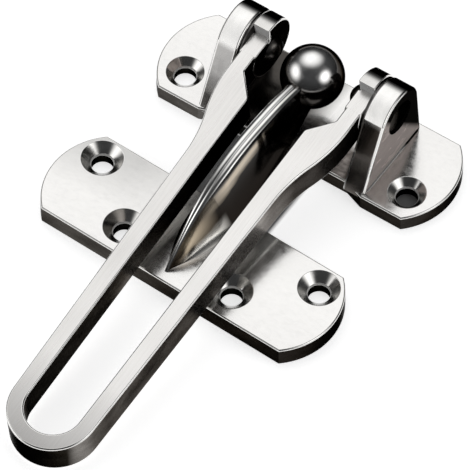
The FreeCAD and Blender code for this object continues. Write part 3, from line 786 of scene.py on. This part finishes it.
def polished(name, tone, rough):
    """Polished nickel with faint wipe marks and small changes of gloss."""
    made = Finish(name)
    marks = made.noise((0.35, 0.12, 0.35), detail=4.0)
    light = tuple(min(1.0, c * 1.06) for c in tone)
    dark = tuple(c * 0.86 for c in tone)
    made.tone = made.blend(made.spread(marks, 0, 1), dark, light)
    made.surface(Base_Color=made.tone, Roughness=made.spread(marks, rough * 0.7, rough * 1.4))
    made.bump(marks, 0.02, WIPE_DEPTH)
    return made


def two_tone(name, tone, under, rough, way, start, stop, edge=0.12, metal=1.0, shine=0.1):
    """Polished nickel that passes along one way into a darker tone that is painted dark reflection and
    shade. A duller one has less `metal` and less `shine`."""
    made = polished(name, tone, rough)
    made.tone = made.blend(made.along(way, start, stop), made.tone, under)
    made.surface(Metallic=metal, Specular_IOR_Level=shine, Specular_Tint=(edge, edge, edge, 1),
                 Base_Color=made.tone)
    return made


def plate_satin(name):
    """A plate's satin top, smooth enough to show soft reflections of what stands on it."""
    return satin(name, NICKEL, (0.7, 0.69, 0.675), 0.18, (0.5, 0.9, 0.5), relief=0.03)


def bracket_top(name):
    """The bracket's satin top, with painted shade between the ears: dark on the left half, and in front of
    the right ear a scuffed texture darkened by painted shade."""
    made = plate_satin(name)
    # painted shade between the ears
    left = made.both(made.along(RIGHT, -16.2, -15.4), made.along(LEFT, -4.0, 1.0))
    right = made.both(made.along(RIGHT, 5.0, 9.0), made.along(LEFT, -20.6, -20.0))
    front = made.both(right, made.along(FRONT, -1.0, 3.0))
    scuffs_and_shade = made.ramp(made.noise((0.5, 1.4, 0.5), detail=4.0), [
        (0.3, (0.06, 0.053, 0.048)), (0.7, (0.24, 0.215, 0.2))])
    darkened = made.blend(left, made.tone, (0.06, 0.055, 0.05))
    made.surface(Base_Color=made.blend(front, darkened, scuffs_and_shade))
    return made


def keeper_top(name):
    """The keeper's satin top, with painted shade that makes it a little greyer at its back on the left."""
    made = plate_satin(name)
    back = made.both(made.along(BACK, -44, -31), made.along(LEFT, 6, 22))
    made.surface(Base_Color=made.shade(made.tone, made.spread(back, 1.0, 0.68, 0.0, 1.0)))
    return made


def ear_rim(name):
    """An ear's rim: polished over the round with a painted dark reflection behind it, a little duller where
    the round meets the slope, and painted dark reflection down the slope, more so on the right ear."""
    made = two_tone(name, NICKEL, BLACK, EDGE_ROUGH, *ROUND_FADE)
    front = made.along(FRONT, -1.5, 0.5)
    low = made.both(front, made.along(DOWN, -19.3, -18.2))
    slope = made.blend(made.along(RIGHT, -16, 16), (0.42, 0.41, 0.4), (0.22, 0.2, 0.185))
    dull = made.math("SUBTRACT", front, low)
    made.surface(Base_Color=made.blend(low, made.tone, slope),
                 Metallic=made.spread(dull, 1.0, 0.8, 0.0, 1.0))
    return made


def bar_top(name):
    """The bar's brushed top, its grain lengthwise, with painted shade that makes it greyer round the loop's
    end.
    """
    made = satin(name, (0.91, 0.895, 0.875), (0.62, 0.605, 0.585), 0.3, BAR_GRAIN)
    loop = made.spread(made.along(BACK, -106, -84), 0.47, 1.0, 0.0, 1.0)
    made.surface(Base_Color=made.shade(made.tone, loop))
    return made


def keel_flank(name):
    """The keel's hollow flank in painted light: dark, a warm painted reflection in a streak under the
    ridge and a pale painted highlight on the bow at its foot. The spots give the station along the keel
    and the depth below its ridge, both from 0 to 1."""
    made = polished(name, (0.1, 0.085, 0.07), 0.12)
    spots = made.node("ShaderNodeUVMap", {"uv_map": "spots"}).outputs[0]
    station, depth, _ = made.node("ShaderNodeSeparateXYZ", Vector=spots).outputs
    cloud = made.noise((0.12, 0.05, 0.3))
    depth = made.math("ADD", depth, made.spread(cloud, -0.05, 0.05))
    # painted shade and reflection along the keel: warm brown near the bow, near black further back
    dark = made.ramp(station, [
        (0.0, (0.06, 0.048, 0.036)), (0.08, (0.1, 0.08, 0.06)), (0.14, (0.44, 0.37, 0.28)),
        (0.22, (0.24, 0.2, 0.15)), (0.32, (0.014, 0.011, 0.009)), (1.0, (0.01, 0.009, 0.008))])
    warm = made.both(made.window(depth, 0.1, 0.18, 0.26, 0.4), made.window(station, 0.26, 0.4, 0.6, 0.74))
    pale = made.both(made.window(depth, 0.55, 0.68, 0.9, 0.98), made.window(station, 0.1, 0.16, 0.26, 0.36))
    streak = made.blend(warm, dark, (0.58, 0.5, 0.395))
    made.surface(Base_Color=made.blend(pale, streak, (0.97, 0.94, 0.88)))
    return made


# painted reflections on the bar's walls, along the bar from the loop's end: dark, with painted highlight
# bands round the loop, over the keeper and at the flare; the second list, for walls far to the right, is
# painted lighter
BAR_WALL_LEFT = [
    (0.0, (0.014, 0.013, 0.011)), (0.04, (0.04, 0.038, 0.034)), (0.065, (0.28, 0.266, 0.252)),
    (0.09, (0.06, 0.057, 0.053)), (0.36, (0.1, 0.095, 0.088)), (0.46, (0.36, 0.34, 0.32)),
    (0.62, (0.2, 0.19, 0.178)), (0.73, (0.085, 0.08, 0.075)), (1.0, (0.03, 0.028, 0.025))]
BAR_WALL_RIGHT = [
    (0.0, (0.03, 0.028, 0.026)), (0.05, (0.3, 0.285, 0.27)), (0.08, (0.32, 0.305, 0.29)),
    (0.14, (0.18, 0.172, 0.164)), (0.44, (0.15, 0.143, 0.136)), (0.52, (0.5, 0.475, 0.455)),
    (0.64, (0.5, 0.475, 0.455)), (0.74, (0.11, 0.104, 0.099)), (1.0, (0.04, 0.038, 0.035))]

finish_table = {
    "bar_top": bar_top("bar_top_brushed"),
    "bar_edge": polished("bar_edge_bright", BRIGHT, EDGE_ROUGH),
    "bar_under": satin("bar_underside_satin", (0.66, 0.65, 0.63), (0.45, 0.44, 0.425), 0.28, BAR_GRAIN),
    # the bar's walls take painted reflections and painted highlights
    "bar_wall": dark_wall("bar_wall_dark", BAR_WALL_LEFT, WALL_ROUGH, BACK, -105, 5, BAR_WALL_RIGHT),
    # knuckle rounds: painted dark reflection towards the back
    "knuckle": two_tone("knuckle_round_polished", (0.7, 0.69, 0.67), BLACK, EDGE_ROUGH, *ROUND_FADE),
    "knuckle_step": satin("knuckle_step_matt", (0.97, 0.96, 0.94), (0.75, 0.74, 0.72), 0.3, MATT_GRAIN,
                          metal=0.85),
    "bracket_top": bracket_top("bracket_top_satin"),
    "keeper_top": keeper_top("keeper_top_satin"),
    "edge": polished("edge_bright", BRIGHT, EDGE_ROUGH),
    # painted shade on the plates' walls: lighter on the left, darker towards the right
    "plate_wall": dark_wall("bracket_wall_dark", [(0.0, DARK_GREY), (1.0, (0.04, 0.037, 0.034))],
                            WALL_ROUGH, RIGHT, -18, 8),
    "keeper_wall": dark_wall("keeper_wall_dark", [(0.0, DARK_GREY), (1.0, (0.035, 0.032, 0.029))],
                             WALL_ROUGH, RIGHT, -18, 6),
    "sink": polished("countersink_turned", (0.62, 0.61, 0.59), EDGE_ROUGH),
    "sink_rim": satin("countersink_rim_matt", (0.95, 0.94, 0.92), BRIGHT, 0.35, MATT_GRAIN, metal=0.3),
    # painted shade in the bores: darker towards the bottom
    "hole": dark_wall("hole_wall", [(0.0, (0.006, 0.006, 0.005)), (1.0, (0.02, 0.019, 0.018))], 0.3,
                      UP, 0, 4),
    # painted reflection on the ears' outer faces: taupe low down, black towards the top and back
    "ear_face": two_tone("ear_face_dull", (0.84, 0.74, 0.7), BLACK, 0.25, (0, 0.755, 0.655), 10.2, 11.6,
                         metal=0.35, edge=0.02, shine=0.0),
    # ear edges: painted dark reflection towards the back
    "ear_edge": two_tone("ear_edge_bright", BRIGHT, BLACK, EDGE_ROUGH, *ROUND_FADE),
    "ear_rim": ear_rim("ear_rim_polished"),
    "keel_ridge": polished("keel_ridge_polished", NICKEL, 0.1),
    "keel_flank": keel_flank("keel_flank_warm"),
    # painted shade on the far flank: dark, going black towards its back
    "keel_far": two_tone("keel_far_dark", (0.05, 0.047, 0.042), BLACK, 0.2, BACK, -50, -30),
    # painted dark reflection on the ball's lower side
    "ball": two_tone("ball_polished", (0.87, 0.86, 0.845), (0.07, 0.065, 0.06), 0.15,
                     (-0.17, 0.252, -0.953), -21.8, -20.0, edge=0.1),
    # painted dark reflection towards the back of the pins
    "pin": two_tone("pin_plain", (0.3, 0.28, 0.26), BLACK, 0.25, BACK, 0.0, 3.0),
    # painted shade on the washers: darker towards the bottom
    "washer": dark_wall("washer_plain", [(0.0, (0.1, 0.098, 0.094)), (1.0, (0.16, 0.155, 0.15))], 0.35,
                        UP, 10, 22),
}

build_bracket()
build_bar()
build_keeper()
for side in (1, -1):
    build_pin(side)
    build_washer(side)

# the stage: floor, lamps and camera
FLOOR_HALF, FLOOR_LEVEL = 2.5, -1e-4
# boxes of floor painted grey as a painted shadow: between the plates under the bar, and under the bracket
# on the right
SHADOW_PAINTED_FLOOR = ((-13.5, 8.0, -29.5, -10.5), (25.0, 31.6, -8.5, -2.0))
LAMP_RIM, RIM_GLOW = 0.5, 0.03
PICTURE_WIDTH, SENSOR_WIDTH = 470, 36.0


def floor_paint():
    """Matt white that the eye and the metal see lifted to full white, but not between the plates under
    the bar, or under the bracket on the right: there the lift is off and the floor is painted grey, a
    painted shadow."""
    made = Finish("floor_white")
    path = made.node("ShaderNodeLightPath").outputs
    seen = made.math("ADD", path["Is Camera Ray"], path["Is Glossy Ray"])
    lift = made.math("MINIMUM", made.math("ADD", seen, path["Is Transmission Ray"]), 1.0)
    white = 1.0
    for left, right, front, back in SHADOW_PAINTED_FLOOR:
        clear = made.along(RIGHT, right, right + 1)
        for way, start, run in ((LEFT, -left, 4), (BACK, back, 1), (FRONT, -front, 1)):
            clear = made.math("MAXIMUM", clear, made.along(way, start, start + run))
        white = made.both(white, clear)
    # the floor's own colour is painted grey in those boxes: a painted shadow
    made.surface(Metallic=0.0, Roughness=0.9, Specular_IOR_Level=0.1, Emission_Color=(1, 1, 1, 1),
                 Base_Color=made.blend(white, (0.25, 0.25, 0.25), (0.93, 0.93, 0.93)),
                 Emission_Strength=made.spread(made.both(lift, white), 0.0, 0.7, 0.0, 1.0))
    return made


def add_floor():
    """A plain pale floor that takes the shadows."""
    mesh = bpy.data.meshes.new("floor")
    signs = ((-1, -1), (1, -1), (1, 1), (-1, 1))
    corners = [(x * FLOOR_HALF, y * FLOOR_HALF, FLOOR_LEVEL) for x, y in signs]
    mesh.from_pydata(corners, [], [(0, 1, 2, 3)])
    floor = bpy.data.objects.new("floor", mesh)
    bpy.context.scene.collection.objects.link(floor)
    mesh.materials.append(floor_paint().material)


def add_softbox(name, place, aim, width, height, power, start):
    """A softbox that faces a point. Its light is even up to `start` from the middle of the cloth, as a
    part of its width, and falls off smoothly to almost nothing at the rim."""
    lamp = bpy.data.lights.new(name, "AREA")
    lamp.shape = "RECTANGLE"
    lamp.size, lamp.size_y, lamp.energy = width, height, power
    lamp.use_nodes = True
    tree = lamp.node_tree
    over = tree.nodes.new("ShaderNodeNewGeometry").outputs["Parametric"]
    off = tree.nodes.new("ShaderNodeVectorMath")
    off.operation = "DISTANCE"
    off.inputs[1].default_value = (0.5, 0.5, 0.0)
    tree.links.new(over, off.inputs[0])
    fall = tree.nodes.new("ShaderNodeMapRange")
    fall.interpolation_type = "SMOOTHSTEP"
    for socket, value in zip(fall.inputs[1:5], (start, LAMP_RIM, 1.0, RIM_GLOW)):
        socket.default_value = value
    tree.links.new(off.outputs["Value"], fall.inputs[0])
    tree.links.new(fall.outputs[0], tree.nodes["Emission"].inputs["Strength"])
    holder = bpy.data.objects.new(name, lamp)
    bpy.context.scene.collection.objects.link(holder)
    holder.location = place
    holder.rotation_euler = (Vector(aim) - Vector(place)).to_track_quat("-Z", "Y").to_euler()


def add_camera():
    """The camera at the photograph's viewing angle: its focal length is in the photograph's pixels, its
    distance and target in millimetres."""
    azimuth, elevation = math.radians(34.0891), math.radians(54.6497)
    focal, distance = 7899.0, 1663.5
    target = np.array([2.8751, -32.3388, 0.0])
    back = np.array([math.sin(azimuth) * math.cos(elevation), -math.cos(azimuth) * math.cos(elevation),
                     math.sin(elevation)])
    right = np.array([math.cos(azimuth), math.sin(azimuth), 0.0])
    up = np.cross(back, right)
    data = bpy.data.cameras.new("camera")
    data.sensor_fit = "HORIZONTAL"
    data.sensor_width = SENSOR_WIDTH
    data.lens = SENSOR_WIDTH * focal / PICTURE_WIDTH
    data.clip_start, data.clip_end = 0.1, 20.0
    camera = bpy.data.objects.new("camera", data)
    bpy.context.scene.collection.objects.link(camera)
    turn = Matrix(np.column_stack([right, up, back]).tolist()).to_4x4()
    turn.translation = Vector((target + back * distance) * MM)
    camera.matrix_world = turn
    bpy.context.scene.camera = camera


add_floor()
add_softbox("overhead_softbox", (-0.44, 0.50, 1.2), (0, -0.03, 0), 2.4, 2.4, 21.0, 0.1)
add_softbox("left_softbox", (-0.95, -0.75, 0.55), (0, -0.03, 0.01), 1.9, 1.4, 16.0, 0.05)
add_softbox("right_softbox", (1.16, 0.03, 0.74), (0, -0.03, 0.01), 1.6, 1.4, 15.0, 0.05)
add_camera()

world = bpy.data.worlds.new("studio")
bpy.context.scene.world = world
world.use_nodes = True
world.node_tree.nodes["Background"].inputs["Color"].default_value = (0.9, 0.92, 0.95, 1)
world.node_tree.nodes["Background"].inputs["Strength"].default_value = 0.06

bpy.context.scene.view_settings.view_transform = "Standard"
